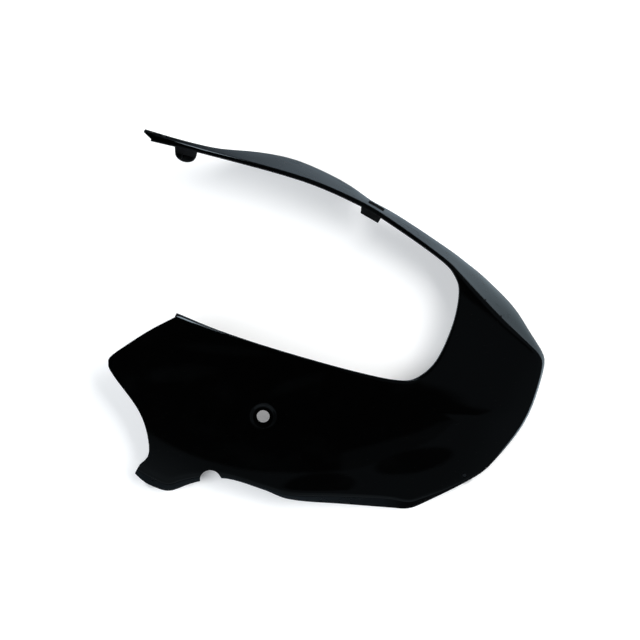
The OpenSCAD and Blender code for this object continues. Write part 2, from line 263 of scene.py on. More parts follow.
class FinishColours(bpy.types.PropertyGroup):
    """Colours of the paint, the bare moulding and the floor."""

    paint: FloatVectorProperty(
        name="Paint", description="Colour of the gloss paint", subtype="COLOR", size=4,
        default=(0.0003, 0.0003, 0.0003, 1), min=0, max=1)
    bare: FloatVectorProperty(
        name="Bare moulding", description="Colour of the unpainted back", subtype="COLOR", size=4,
        default=(0.0026, 0.0028, 0.0031, 1), min=0, max=1)
    floor: FloatVectorProperty(
        name="Floor", description="Colour of the studio floor", subtype="COLOR", size=4,
        default=(0.86, 0.87, 0.88, 1), min=0, max=1)


def pick(rows, k):
    """Cubic curve through rows of (place, value): each span is a Hermite cubic whose end slopes are the
    chords between the neighbouring rows, and a row with a third entry keeps one-sided slopes, a corner."""
    place = np.array([row[0] for row in rows], float)
    value = np.array([row[1] for row in rows], float).reshape(len(rows), -1)
    corner = np.array([len(row) > 2 for row in rows])[1:-1, None]
    step = np.diff(place)[:, None]
    chord = np.diff(value, axis=0) / step
    middle = (value[2:] - value[:-2]) / (place[2:] - place[:-2])[:, None]
    after = np.vstack([chord[:1], np.where(corner, chord[1:], middle)])
    before = np.vstack([np.where(corner, chord[:-1], middle), chord[-1:]])
    k = np.atleast_1d(np.asarray(k, float))
    i = np.clip(np.searchsorted(place, k, side="right") - 1, 0, len(rows) - 2)
    h = step[i]
    t = (k - place[i])[:, None] / h
    found = ((1 + 2 * t) * (1 - t) ** 2 * value[i] + t * (1 - t) ** 2 * h * after[i]
             + t ** 2 * (3 - 2 * t) * value[i + 1] - t ** 2 * (1 - t) * h * before[i])
    return found[:, 0] if value.shape[1] == 1 else found


def ease(t):
    """Smooth step: 3 t squared minus 2 t cubed, held at 0 and 1 outside."""
    t = np.clip(t, 0, 1)
    return t * t * (3 - 2 * t)


def unit(v):
    """Vectors divided by their own length."""
    return v / np.linalg.norm(v, axis=-1, keepdims=True)


def blur(values, reach):
    """Running mean over 2 reach + 1 rows, taken twice, which rounds a rail's corners. Past both ends the
    rows go on as their own point reflection, so that the ends stay where they are."""
    kernel = np.ones(2 * reach + 1) / (2 * reach + 1)
    kernel = np.convolve(kernel, kernel)
    pad = len(kernel) // 2
    flat = values.reshape(len(values), -1)
    before = 2 * flat[:1] - flat[pad:0:-1]
    after = 2 * flat[-1:] - flat[-2:-pad - 2:-1]
    padded = np.vstack([before, flat, after])
    out = np.column_stack([np.convolve(column, kernel, mode="valid") for column in padded.T])
    return out.reshape(values.shape)


def soften(values, reach, detail):
    """The values blurred for the fine skin, and as drawn for the solid model's plan."""
    return blur(values, reach) if detail.fine else values


def rolled_arc(radius, turn, slope, steps):
    """Conic arc of the rolled edge, as reach outwards and drop from its start. It leaves along the slope
    and ends where the circle of the radius would after the turn, an angle down from level. Its middle
    point's weight is the cosine of half the bend, so from a level start it is the circle's own arc."""
    end_reach, end_drop = radius * np.sin(turn), radius * (1 - np.cos(turn))
    low = (end_drop - slope * end_reach) / (np.sin(turn) - slope * np.cos(turn))
    middle = end_reach - low * np.cos(turn)
    t = (np.arange(1, steps + 1) / steps)[None]
    pull = 2 * np.cos((turn - np.arctan(slope)) / 2)[:, None] * t * (1 - t)
    total = (1 - t) ** 2 + pull + t ** 2
    reach = (pull * middle[:, None] + t ** 2 * end_reach[:, None]) / total
    drop = (pull * (slope * middle)[:, None] + t ** 2 * end_drop[:, None]) / total
    return reach, drop


class Loft:
    """The skin's surface: stations run along the C of the panel and a section crosses it at each one.
    The holes' places are plan points. The clip slot and the tabs lie at stations, and the slot's middle is a
    share of the way down the wall."""

    fixing_at = np.array([-84, -143]) * MM
    rivet_at = np.array([216, -232]) * MM
    notch_at = np.array([-163, -239]) * MM
    hook_slot_at = np.array([-249, -238]) * MM
    slot_station, slot_down = 5.5, 0.53
    cup_station, plain_station = 1.53, 5.45

    def __init__(self, sizes):
        self.sizes = sizes
        self.roll = sizes.wall + sizes.inner_radius
        self.centre = self.outline_middle()

    def outline_middle(self):
        """Middle of the plan's box, from the solid model's own rows: four to a station, in 12 steps."""
        k = np.linspace(0, LAST_STATION, LAST_STATION * 4 + 1)
        shares = np.linspace(0, 1, 13)
        sides = [self.section(k, inset, shares, SOLID_DETAIL) for inset in (0.0, self.sizes.wall)]
        plan = np.concatenate(sides).reshape(-1, 3)[:, :2]
        return (plan.min(0) + plan.max(0)) / 2

    def square(self, rail, k):
        """Unit vector square to a rail in plan, on its left, from points a tenth of a station either side."""
        run = pick(rail, np.minimum(k + 0.1, LAST_STATION)) - pick(rail, np.maximum(k - 0.1, 0))
        return unit(run)[:, [1, 0]] * [-1, 1]

    def height(self, plan):
        """Height of the face over the plan: its top less each fall times the square of the distance past
        its place over its run, plus the soft line's bell and the arm's rise."""
        s = self.sizes
        x, y = plan[..., 0] / MM, plan[..., 1] / MM
        along = x - LINE_START
        across = y - LINE_Y - LINE_SLOPE * along
        bell = (np.clip(along / LINE_FADE, 0, 1) * np.clip((LINE_LENGTH - along) / LINE_FADE, 0, 1)
                * np.exp(-(across / LINE_WIDTH) ** 2))
        tip_x, tip_y = OPENING_EDGE[0][1]
        return (s.face_height - s.belly_fall * (np.maximum(FALL_Y - y, 0) / BELLY_RUN) ** 2
                - s.front_fall * (np.maximum(x - FALL_X, 0) / FRONT_RUN) ** 2
                - s.rear_fall * (np.maximum(FALL_X - x, 0) / REAR_RUN) ** 2 + s.style_line * bell
                + s.arm_rise * np.maximum(0, y - FALL_Y) / (tip_y - FALL_Y) * np.maximum(0, x / tip_x))

    def on_face(self, plan):
        """Point of the face over a plan point, and its upward normal from height differences 1 mm around."""
        dx = self.height(plan - [MM, 0]) - self.height(plan + [MM, 0])
        dy = self.height(plan - [0, MM]) - self.height(plan + [0, MM])
        return np.append(plan, self.height(plan)), unit(np.array([dx, dy, 2 * MM]))

    def press(self, points):
        """Pushes points in along the dish's axis by its depth, easing from none at the rim to all at the
        floor."""
        s = self.sizes
        base, axis = self.on_face(self.fixing_at)
        away = points - base
        radius = np.linalg.norm(away - (away @ axis)[..., None] * axis, axis=-1)
        depth = s.dish_depth * ease((s.dish_diameter / 2 + s.dish_slope - radius) / s.dish_slope)
        return points - depth[..., None] * axis

    def section(self, k, inset, shares, detail):
        """One side of the skin at stations k, as rows of points: the lip's arc, the face, the rolled
        edge's arc and the side wall. The inset is 0 outside and the wall's thickness inside."""
        inner = soften(pick(OPENING_EDGE, k) * MM, RAIL_BLUR, detail)
        outer = soften(pick(OUTER_EDGE, k) * MM, RAIL_BLUR, detail)
        inward = unit(soften(-self.square(OPENING_EDGE, k), RAIL_BLUR, detail))
        outward = unit(soften(self.square(OUTER_EDGE, k), ROLL_BLUR, detail))
        lip_roll = self.roll + pick(EXTRA_LIP, k) * MM
        edge_roll = self.roll + soften(pick(EXTRA_ROLL, k), ROLL_BLUR, detail) * MM
        lip_base = inner - lip_roll[:, None] * inward
        plan = self.face_plan(k, lip_base, outer - edge_roll[:, None] * outward, shares)
        face = np.dstack([plan, self.height(plan) - inset])
        lip = self.lip(k, inset, lip_base, inward, lip_roll, detail)
        side = self.side(k, inset, plan[:, -1], outward, edge_roll, detail)
        points = np.concatenate([lip, face, side], axis=1)
        return self.press(points) if detail.fine else points

    def face_plan(self, k, lip_base, edge_base, shares):
        """Plan of the face: straight from the lip to the edge at the front, and bent towards the rear
        edge's curve by the square of the way from the bend's start to the last station."""
        first, last = np.array([REAR_EDGE[0][1], REAR_EDGE[-1][1]], float) * MM
        bend = pick(REAR_EDGE, shares) * MM - (first + (last - first) * shares[:, None])
        weight = np.maximum(0, (k - REAR_BEND_START) / (LAST_STATION - REAR_BEND_START)) ** 2
        share = shares[None, :, None]
        straight = lip_base[:, None] * (1 - share) + edge_base[:, None] * share
        return straight + weight[:, None, None] * bend[None]

    def lip(self, k, inset, base, inward, roll, detail):
        """The lip's foot and the quarter circle that joins it to the face."""
        radius = (roll - inset)[:, None]
        top = self.height(base) - roll
        bottom = top - (self.sizes.lip_depth - roll) * pick(LIP_SHARE, k)
        angle = np.radians(np.linspace(90, 0, detail.lip_steps + 1)[:-1])
        plan = base[:, None] + (radius * np.sin(angle))[..., None] * inward[:, None]
        arc = np.dstack([plan, top[:, None] + radius * np.cos(angle)])
        foot = np.column_stack([base + radius * inward, bottom])[:, None]
        middle = (arc[:, :1] + foot) / 2
        return np.concatenate([foot, middle, arc] if detail.fine else [foot, arc], axis=1)

    def side(self, k, inset, base, outward, roll, detail):
        """The rolled edge from the face to the wall, and the wall down to its foot, straight but for a
        bulge of half a sine wave."""
        crown = self.height(base)
        top = crown - roll
        foot = soften(pick(FOOT_HEIGHT, k), RAIL_BLUR, detail) * MM
        spread = soften(pick(FOOT_SPREAD, k), RAIL_BLUR, detail) * MM
        lean = np.arctan2(spread, top - foot)
        radius = roll - inset
        slope = np.maximum(crown - self.height(base + MM * outward), 0) / MM
        reach, drop = rolled_arc(radius, np.pi / 2 - lean, slope, detail.roll_steps)
        t = (np.arange(1, detail.wall_steps + 1) / detail.wall_steps)[None]
        start, end = radius * np.cos(lean), roll + spread - inset / np.cos(lean)
        bulge = (pick(WALL_BULGE, k) * spread)[:, None] * np.sin(np.pi * t)
        wall_reach = start[:, None] * (1 - t) + end[:, None] * t + bulge
        wall_z = (top + radius * np.sin(lean))[:, None] * (1 - t) + foot[:, None] * t
        reach = np.concatenate([reach, wall_reach], axis=1)
        z = np.concatenate([(top + radius)[:, None] - drop, wall_z], axis=1)
        return np.dstack([base[:, None] + reach[..., None] * outward[:, None], z])

    def at_opening(self, k):
        """Frame at the opening's edge: origin, direction along the edge and direction into the opening."""
        k = np.array([k], float)
        point = pick(OPENING_EDGE, k)[0] * MM
        inward = -self.square(OPENING_EDGE, k)[0]
        origin = np.append(point, self.height(point - self.roll * inward))
        return self.to_frame(origin), np.array([inward[1], -inward[0], 0]), np.append(inward, 0)

    def edge_base(self, k):
        """Middle of the rolled edge's arc in plan, with the outward direction and the arc's radius."""
        k = np.array([k], float)
        outward = self.square(OUTER_EDGE, k)[0]
        radius = self.roll + pick(EXTRA_ROLL, k)[0] * MM
        return pick(OUTER_EDGE, k)[0] * MM - radius * outward, outward, radius

    def at_edge(self, k, share):
        """Frame at the outer edge: origin at a share of the way down the wall, outward and along."""
        base, outward, radius = self.edge_base(k)
        reach = radius + share * pick(FOOT_SPREAD, k)[0] * MM
        z = self.height(base) * (1 - share) + pick(FOOT_HEIGHT, k)[0] * MM * share
        origin = np.append(base + reach * outward, z)
        return self.to_frame(origin), np.append(outward, 0), np.array([-outward[1], outward[0], 0])

    def at_fixing(self):
        """Frame of the main fixing: its origin on the face, two directions across and the hole's axis."""
        base, axis = self.on_face(self.fixing_at)
        across = unit(np.array([-axis[1], axis[0], 0]))
        return self.to_frame(base), np.cross(across, axis), across, axis

    def to_frame(self, points):
        """Points moved from the drawing's origin to the middle of the frame's plan."""
        return points - np.append(self.centre, 0)


def link_piece(name, mesh):
    """An object of the mesh in the scene."""
    piece = bpy.data.objects.new(name, mesh)
    bpy.context.scene.collection.objects.link(piece)
    return piece


def grid_piece(name, points, faces, materials, face_material=None):
    """A mesh object from an array of points and an array of faces with one number of corners."""
    mesh = bpy.data.meshes.new(name)
    mesh.vertices.add(len(points))
    mesh.vertices.foreach_set("co", np.ascontiguousarray(points, np.float32).ravel())
    mesh.loops.add(faces.size)
    mesh.loops.foreach_set("vertex_index", faces.ravel().astype(np.int32))
    mesh.polygons.add(len(faces))
    mesh.polygons.foreach_set("loop_start", np.arange(0, faces.size, faces.shape[1], dtype=np.int32))
    for material in materials:
        mesh.materials.append(material)
    if face_material is not None:
        mesh.polygons.foreach_set("material_index", face_material.astype(np.int32))
    mesh.update(calc_edges=True)
    mesh.validate()
    return link_piece(name, mesh)


def prism_piece(name, prisms, materials=()):
    """A mesh object of several closed prisms: each has its two ends and a quad for each of its sides. The
    faces are turned outwards afterwards, because the outlines run both ways round."""
    points, faces = [], []
    for prism_points in prisms:
        sides = len(prism_points) // 2
        here = np.arange(sides) + sum(map(len, points))
        there = np.roll(here, -1)
        quads = np.column_stack([here, there, there + sides, here + sides])
        faces += [here[::-1].tolist(), (here + sides).tolist(), *quads.tolist()]
        points.append(prism_points)
    mesh = bpy.data.meshes.new(name)
    mesh.from_pydata(np.vstack(points), [], faces)
    bm = bmesh.new()
    bm.from_mesh(mesh)
    bmesh.ops.recalc_face_normals(bm, faces=bm.faces)
    bm.to_mesh(mesh)
    bm.free()
    for material in materials:
        mesh.materials.append(material)
    return link_piece(name, mesh)


def prism(outline, origin, x_axis, y_axis, z_axis, low, high):
    """Points of a closed prism over an outline in a local frame, from low to high along the local z axis."""
    outline = np.asarray(outline, float)
    flat = origin + outline[:, :1] * x_axis + outline[:, 1:] * y_axis
    return np.vstack([flat + low * z_axis, flat + high * z_axis])


def ring(sides, start=0.0):
    """Points evenly round the unit circle."""
    turn = np.linspace(0, 2 * np.pi, sides, endpoint=False) + start
    return np.column_stack([np.cos(turn), np.sin(turn)])


def rod(base, axis, radius, low, high, sides):
    """Points of a closed cylinder about an axis through the base, from low to high along it."""
    off_axis = [0.31, 0.95, 0.02]
    side = unit(np.cross(axis, off_axis))
    return prism(radius * ring(sides), base, side, np.cross(axis, side), axis, low, high)


def box_outline(x_low, x_high, y_low, y_high):
    """Corners of a rectangle."""
    return np.array([[x_low, y_low], [x_high, y_low], [x_high, y_high], [x_low, y_high]])


def trim(outline, low, high):
    """Part of an outline between two local y values. Each side that crosses a limit gets a corner there, at
    the share of its length that its start's distance from the limit is of both ends' distances."""
    for sign, limit in ((1, low), (-1, high)):
        following = np.roll(outline, -1, axis=0)
        here, there = sign * (outline[:, 1] - limit), sign * (following[:, 1] - limit)
        crosses = here * there < 0
        run = np.where(crosses, here - there, 1)
        corners = outline + (following - outline) * here[:, None] / run[:, None]
        kept = np.column_stack([here >= 0, crosses]).ravel()
        outline = np.stack([outline, corners], axis=1).reshape(-1, 2)[kept]
    return outline


def apply_modifiers(piece):
    """Replaces the piece's mesh with its evaluated one and clears its modifiers."""
    bpy.context.view_layer.update()
    evaluated = piece.evaluated_get(bpy.context.evaluated_depsgraph_get())
    mesh = bpy.data.meshes.new_from_object(evaluated)
    mesh.name = piece.data.name
    piece.modifiers.clear()
    piece.data = mesh


def cut(piece, prisms):
    """Subtracts closed prisms from the piece."""
    cutter = prism_piece("cutter", prisms)
    tool = piece.modifiers.new("cut", "BOOLEAN")
    tool.operation = "DIFFERENCE"
    tool.object = cutter
    tool.solver = "EXACT"
    apply_modifiers(piece)
    bpy.data.objects.remove(cutter)


def rounded_edges(piece, width):
    """Bevels the piece's sharp edges with three segments."""
    tool = piece.modifiers.new("bevel", "BEVEL")
    tool.width = width
    tool.segments = 3
    tool.angle_limit = math.radians(35)
    apply_modifiers(piece)


def finish_piece(piece, sharp_from):
    """Smooth shading, with edges sharper than an angle in degrees kept crisp. The piece rides on the panel's
    body and stands for the panel's node."""
    if not piece.data.polygons:
        raise RuntimeError(f"{piece.name} came out empty")
    piece.data.shade_smooth()
    piece.data.set_sharp_from_angle(angle=math.radians(sharp_from))
    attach(piece, BODY)
    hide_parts(NODE)


def dense_steps(steps, low, high, gain):
    """Shares from 0 to 1 whose spacing is gain times closer between low and high: even steps of the
    density's running sum."""
    t = np.linspace(0, 1, 2001)
    rise, fall = ease((t - low) / DENSE_FADE + 1), ease((high - t) / DENSE_FADE + 1)
    density = 1 + (gain - 1) * rise * fall
    total = np.concatenate([[0], np.cumsum((density[1:] + density[:-1]) / 2)])
    return np.interp(np.linspace(0, total[-1], steps + 1), total, t)


def loop_rows(outer, inner):
    """Closed loop of each section: the outer side, a rounded foot, the inner side back, a rounded lip."""
    foot_a = outer[:, -1:] * (1 - CUT_SHARE) + inner[:, -1:] * CUT_SHARE
    foot_b = outer[:, -1:] * CUT_SHARE + inner[:, -1:] * (1 - CUT_SHARE)
    lip_a = inner[:, :1] * (1 - CUT_SHARE) + outer[:, :1] * CUT_SHARE
    lip_b = inner[:, :1] * CUT_SHARE + outer[:, :1] * (1 - CUT_SHARE)
    outer[:, [0, -1]] += CUT_RISE * UP
    inner[:, [0, -1]] += CUT_RISE * UP
    return np.concatenate([outer, foot_a, foot_b, inner[:, ::-1], lip_a, lip_b], axis=1)


def end_row(loop, partner, way):
    """A loop drawn in to the middle of the wall and pushed out a little, which rounds the skin's cut end."""
    middle = (loop + loop[partner]) / 2
    return (middle + (loop - middle) * END_SHARE + way * END_PUSH)[None]


def end_faces(count, size):
    """Quads that close a loop across the wall: strips between the two sides, the foot and the lip."""
    outside = np.arange(count)
    inside = 2 * count + 1 - outside
    strips = np.column_stack([outside[:-1], outside[1:], inside[1:], inside[:-1]])
    foot = [count - 1, count, count + 1, count + 2]
    lip = [size - 1, 0, 2 * count + 1, size - 2]
    return np.vstack([strips, foot, lip])


def skin_piece(loft, materials):
    """The whole skin as one closed grid: rows of section loops, with quads between them and capped ends."""
    s = loft.sizes
    k = dense_steps(LAST_STATION * s.rows_per_station, *DENSE_ROWS) * LAST_STATION
    shares = dense_steps(s.face_steps, *DENSE_SHARES)
    outer = loft.section(k, 0.0, shares, SKIN_DETAIL)
    inner = loft.section(k, s.wall, shares, SKIN_DETAIL)
    loops = loop_rows(outer, inner)
    count, size = outer.shape[1], loops.shape[1]
    partner = (2 * count + 1 - np.arange(size)) % size
    first_way = unit(loops[0].mean(0) - loops[2].mean(0))
    last_way = unit(np.append((loops[-1] - loops[-3])[:, :2].mean(0), 0))
    first, last = end_row(loops[0], partner, first_way), end_row(loops[-1], partner, last_way)
    loops = np.concatenate([first, loops, last])
    row, j = np.meshgrid(np.arange(len(loops) - 1) * size, np.arange(size), indexing="ij")
    right = (j + 1) % size
    quads = np.stack([row + j, row + size + j, row + size + right, row + right], axis=-1).reshape(-1, 4)
    start = end_faces(count, size)
    end = start[:, ::-1] + (len(loops) - 1) * size
    inside = ((j > count) & (j <= 2 * count)).ravel()
    face_material = np.concatenate([inside, np.zeros(len(start) + len(end), bool)])
    points = np.clip(loft.to_frame(loops.reshape(-1, 3)), cad_low, cad_high)
    return grid_piece("panel_skin", points, np.concatenate([quads, start, end]), materials, face_material)


def holes(loft):
    """Tools for the fixing hole, the rivet hole, the belly notch, the clip slot and the hook's slot. The
    clip slot's outline is a circle whose quarters are moved out to the corners."""
    s = loft.sizes
    fixing, _, _, fixing_axis = loft.at_fixing()
    rivet, rivet_axis = loft.on_face(loft.rivet_at)
    notch = loft.to_frame(np.append(loft.notch_at, 0))
    origin, out, along = loft.at_edge(loft.slot_station, loft.slot_down)
    circle = ring(48, start=0.01)
    half_slot = np.array([s.slot_length, s.slot_height]) / 2
    clip_slot = circle * SLOT_CORNER + np.sign(circle) * (half_slot - SLOT_CORNER)
    hook = loft.to_frame(np.append(loft.hook_slot_at, 0))
    x_axis = np.array([math.cos(HOOK_SLOT_TURN), math.sin(HOOK_SLOT_TURN), 0])
    hook_slot = box_outline(-HOOK_SLOT_LONG, HOOK_SLOT_LONG, -HOOK_SLOT_WIDE, HOOK_SLOT_WIDE)
    return [
        rod(fixing, fixing_axis, s.fixing_diameter / 2, *FIXING_CUT, sides=72),
        rod(loft.to_frame(rivet), rivet_axis, s.rivet_diameter / 2, *RIVET_CUT, sides=40),
        rod(notch, UP, s.notch_radius, *NOTCH_CUT, sides=120),
        prism(clip_slot, origin, along, UP, out, *CLIP_CUT),
        prism(hook_slot, hook, x_axis, np.cross(UP, x_axis), UP, *HOOK_CUT),
    ]


def cup_outline(sizes, inset):
    """Rounded outline of the cup tab, drawn in all round by the inset: straight sides from the root, closed
    by part of an ellipse."""
    half = sizes.tab_width / 2 - inset
    deep = sizes.cup_reach - inset - CUP_SIDE
    turn = np.radians(np.linspace(160, 20, 22))
    arc = np.column_stack([half * (CUP_ARC * np.cos(turn) + CUP_OFFSET), CUP_SIDE + deep * np.sin(turn)])
    root = inset - ROOT_SINK
    return np.vstack([[[half, root], [-half, root], [-half, CUP_SIDE]], arc, [[half * CUP_ARC, CUP_NECK]]])


def cup_tab(loft, materials):
    """Cup tab: a tray with a web across it in front, and a hollow under its root shelf."""
    s = loft.sizes
    thick = s.tab_thickness
    origin, along, inward = loft.at_opening(loft.cup_station)
    origin = origin - (CUP_HEIGHT + TAB_BELOW) * UP
    axes = (along, inward, UP)
    piece = prism_piece("cup_tab", [prism(cup_outline(s, 0), origin, *axes, 0, CUP_HEIGHT)], materials)
    tray = trim(cup_outline(s, thick), CUP_SHELF, s.cup_reach)
    under = trim(cup_outline(s, thick), thick, CUP_SHELF - thick)
    cut(piece, [prism(tray, origin, *axes, thick, 2 * CUP_HEIGHT),
                prism(under, origin, *axes, -CUP_HEIGHT, CUP_HEIGHT - thick)])
    rounded_edges(piece, 0.35 * MM)
    web = box_outline(0, s.rib_thickness, -thick / 2, WEB_END)
    place = origin + s.tab_width / 12 * along + CUP_SHELF * inward
    rib = prism_piece("cup_web", [prism(web, place, *axes, thick / 2, CUP_HEIGHT - thick / 2)], materials)
    rounded_edges(rib, 0.3 * MM)
    return [piece, rib]


def plain_tab(loft, materials):
    """Plain tab: a flat plate with one slanted end."""
    s = loft.sizes
    half, reach = s.tab_width / 2, s.plain_reach
    origin, along, inward = loft.at_opening(loft.plain_station)
    outline = [[-half, -ROOT_SINK], [half, -ROOT_SINK], [half - reach / 2, reach], [-half, reach]]
    plate = prism(outline, origin, along, inward, UP, -s.tab_thickness - TAB_BELOW, -TAB_BELOW)
    piece = prism_piece("plain_tab", [plate], materials)
    rounded_edges(piece, 0.5 * MM)
    return piece


def edge_rib(loft, k, reach, drop):
    """Blunt triangle between the face and the wall at one station."""
    s = loft.sizes
    base, n, radius = loft.edge_base(k)
    top = loft.height(base)
    rise = loft.height(base - reach * n) - top
    root = radius - s.wall + ROOT_SINK
    outline = [[-reach, rise + ROOT_SINK], [-reach * RIB_TIP_SHARE, rise - RIB_TIP_DROP], [root, -drop],
               [root, -ROOT_SINK], [0, ROOT_SINK]]
    origin = loft.to_frame(np.append(base, top - s.wall))
    half = s.rib_thickness / 2
    return prism(outline, origin, np.append(n, 0), UP, np.array([-n[1], n[0], 0]), -half, half)


def dish_gusset(loft, turn):
    """Gusset behind the dish in one direction from the fixing hole."""
    s = loft.sizes
    fixing, across_a, across_b, axis = loft.at_fixing()
    out = math.cos(turn) * across_a + math.sin(turn) * across_b
    edge, floor, under = s.fixing_diameter / 2, s.dish_diameter / 2, s.wall / 2
    near, far = edge + 2 * ROOT_SINK, edge + GUSSET_REACH
    outline = [[near, -s.dish_depth - GUSSET_DROP], [far, -s.wall - ROOT_SINK], [far, -under],
               [floor + s.dish_slope + ROOT_SINK, -under], [floor, -s.dish_depth - under],
               [near, -s.dish_depth - under]]
    half = s.rib_thickness / 2
    return prism(outline, fixing, out, axis, np.cross(out, axis), -half, half)


def slot_ledge(loft):
    """Ledge along the clip slot's lower side."""
    s = loft.sizes
    origin, out, along = loft.at_edge(loft.slot_station, loft.slot_down)
    low, half = -s.slot_height / 2, s.slot_length / 2 + ROOT_SINK
    outline = box_outline(-LEDGE_IN, LEDGE_OUT, low - ROOT_SINK, low + s.tab_thickness)
    return prism(outline, origin, out, UP, along, -half, half)


def ribs(loft, materials):
    """Stiffening inside: ribs along the edge, gussets behind the dish and the clip slot's ledge."""
    pieces = [edge_rib(loft, k, reach, drop) for stations, reach, drop in EDGE_RIBS for k in stations]
    pieces += [dish_gusset(loft, turn) for turn in GUSSET_TURNS]
    pieces.append(slot_ledge(loft))
    piece = prism_piece("ribs", pieces, materials)
    rounded_edges(piece, 0.2 * MM)
    return piece


class Sums:
    """Builds shader sums node by node, so that a formula reads from the inside out."""

    def __init__(self, tree):
        self.tree = tree

    def node(self, kind, **inputs):
        """Adds a node and sets its inputs: numbers on the sockets themselves, sockets by a link."""
        node = self.tree.nodes.new(kind)
        for name, value in inputs.items():
            self.put(value, node.inputs[name.replace("_", " ")])
        return node

    def put(self, value, socket):
        """Links a socket or sets a plain value."""
        if isinstance(value, bpy.types.NodeSocket):
            self.tree.links.new(value, socket)
        else:
            socket.default_value = value

    def math(self, operation, *values):
        """One Math node's result."""
        node = self.tree.nodes.new("ShaderNodeMath")
        node.operation = operation
        for value, socket in zip(values, node.inputs):
            self.put(value, socket)
        return node.outputs[0]

    def noise(self, place, scale, detail, **inputs):
        """Noise over the place, from 0 to 1."""
        node = self.node("ShaderNodeTexNoise", Vector=place, Scale=scale, Detail=detail, **inputs)
        return node.outputs["Fac"]

    def product(self, first, second):
        """The first times the second."""
        return self.math("MULTIPLY", first, second)

    def between(self, value, low, high, start=0.0, end=1.0):
        """Smooth step from start at low to end at high, held at both ends."""
        node = self.tree.nodes.new("ShaderNodeMapRange")
        node.interpolation_type = "SMOOTHSTEP"
        for socket, number in zip(node.inputs, (value, low, high, start, end)):
            self.put(number, socket)
        return node.outputs["Result"]

    def mix(self, share, first, second):
        """Colour mix: the first at share 0, the second at share 1."""
        node = self.tree.nodes.new("ShaderNodeMix")
        node.data_type = "RGBA"
        for value, socket in ((share, 0), (first, 6), (second, 7)):
            self.put(value, node.inputs[socket])
        return node.outputs[2]

    def line(self, u, v, a, b, c):
        """The sum a u + b v + c."""
        return self.math("ADD", self.math("MULTIPLY_ADD", u, a, c), self.product(v, b))

    def length(self, x, y):
        """Length of the vector (x, y)."""
        return self.math("SQRT", self.math("ADD", self.product(x, x), self.product(y, y)))

    def oval(self, u, v, middle, radii, turn, soft=0.12):
        """1 inside a turned ellipse and 0 outside, over a soft rim."""
        cos, sin = math.cos(turn), math.sin(turn)
        du = self.math("SUBTRACT", u, middle[0])
        dv = self.math("SUBTRACT", v, middle[1])
        across = self.math("DIVIDE", self.line(du, dv, cos, sin, 0.0), radii[0])
        upright = self.math("DIVIDE", self.line(du, dv, -sin, cos, 0.0), radii[1])
        return self.between(self.length(across, upright), 1.0 - soft, 1.0 + soft, 1.0, 0.0)


def new_material(name):
    """An empty node material and the sums that fill it."""
    material = bpy.data.materials.new(name)
    material.use_nodes = True
    material.node_tree.nodes.clear()
    return material, Sums(material.node_tree)


def paint_material(colours):
    """Gloss black paint: a mirror-like coat over black, with faint orange peel, dust and wiping marks."""
    material, make = new_material("gloss_black_paint")
    place = make.node("ShaderNodeTexCoord").outputs["Object"]
    peel = make.noise(place, 420.0, 2.0)
    swell = make.noise(place, 9.0, 1.0)
    smear = make.noise(place, 26.0, 6.0, Roughness=0.62, Distortion=0.8)
    specks = make.node("ShaderNodeTexVoronoi", Vector=place, Scale=260.0).outputs["Distance"]
    specks = make.between(specks, 0.02, 0.05, 1.0, 0.0)
    dusty = make.product(specks, make.between(smear, 0.56, 0.68, 0.0, 0.4))
    colour = make.mix(dusty, tuple(colours.paint), (0.05, 0.052, 0.056, 1))
    bump = make.node("ShaderNodeBump", Height=peel, Strength=0.03, Distance=0.0003).outputs[0]
    bump = make.node("ShaderNodeBump", Height=swell, Strength=0.05, Distance=0.002, Normal=bump).outputs[0]
    shader = make.node(
        "ShaderNodeBsdfPrincipled", Base_Color=colour, Roughness=make.between(smear, 0.35, 0.75, 0.16, 0.34),
        Specular_IOR_Level=0.12, Coat_Weight=1.0, Coat_IOR=1.56, Coat_Roughness=0.01, Normal=bump,
        Coat_Normal=bump)
    make.node("ShaderNodeOutputMaterial", Surface=shader.outputs[0])
    return material


def bare_material(colours):
    """Unpainted moulding: satin black with a fine grain and cloudy overspray."""
    material, make = new_material("bare_moulding")
    place = make.node("ShaderNodeTexCoord").outputs["Object"]
    grain = make.noise(place, 900.0, 3.0, Roughness=0.6)
    cloud = make.noise(place, 14.0, 5.0, Roughness=0.6)
    colour = make.mix(make.between(cloud, 0.4, 0.65), tuple(colours.bare), (0.0046, 0.0050, 0.0056, 1))
    bump = make.node("ShaderNodeBump", Height=grain, Strength=0.25, Distance=0.0002).outputs[0]
    shader = make.node("ShaderNodeBsdfPrincipled", Base_Color=colour, Normal=bump, Specular_IOR_Level=0.25,
                       Roughness=make.between(cloud, 0.3, 0.7, 0.30, 0.48))
    make.node("ShaderNodeOutputMaterial", Surface=shader.outputs[0])
    return material


# Painted reflection: the floor's colours that only the panel's mirrors see, by place, with painted shade to
# the rear and below the belly
PAINTED_REFLECTION_MIDDLE = (0.16, 0.197, 0.232, 1)
PAINTED_REFLECTION_FRONT = (0.42, 0.52, 0.59, 1)
PAINTED_SHADE_REFLECTION_REAR = (0.002, 0.002, 0.002, 1)
PAINTED_HIGHLIGHT_REFLECTION_INSIDE = (0.5, 0.55, 0.6, 1)
PAINTED_SHADE_BELOW_REAR = (0.024, 0.031, 0.037, 1)
PAINTED_SHADE_BELOW_FRONT = (0.008, 0.009, 0.010, 1)

# Extra light of the floor in the camera's view, and the spots of painted shade under the rivet hole and the
# hook's slot that go without it
FLOOR_GLOW = 0.22
GLOW_COLOUR = (0.97, 0.98, 1.0, 1)
PAINTED_SHADE_SPOTS, PAINTED_SHADE_RADIUS = ((0.206, -0.232), (-0.263, -0.238)), 0.012


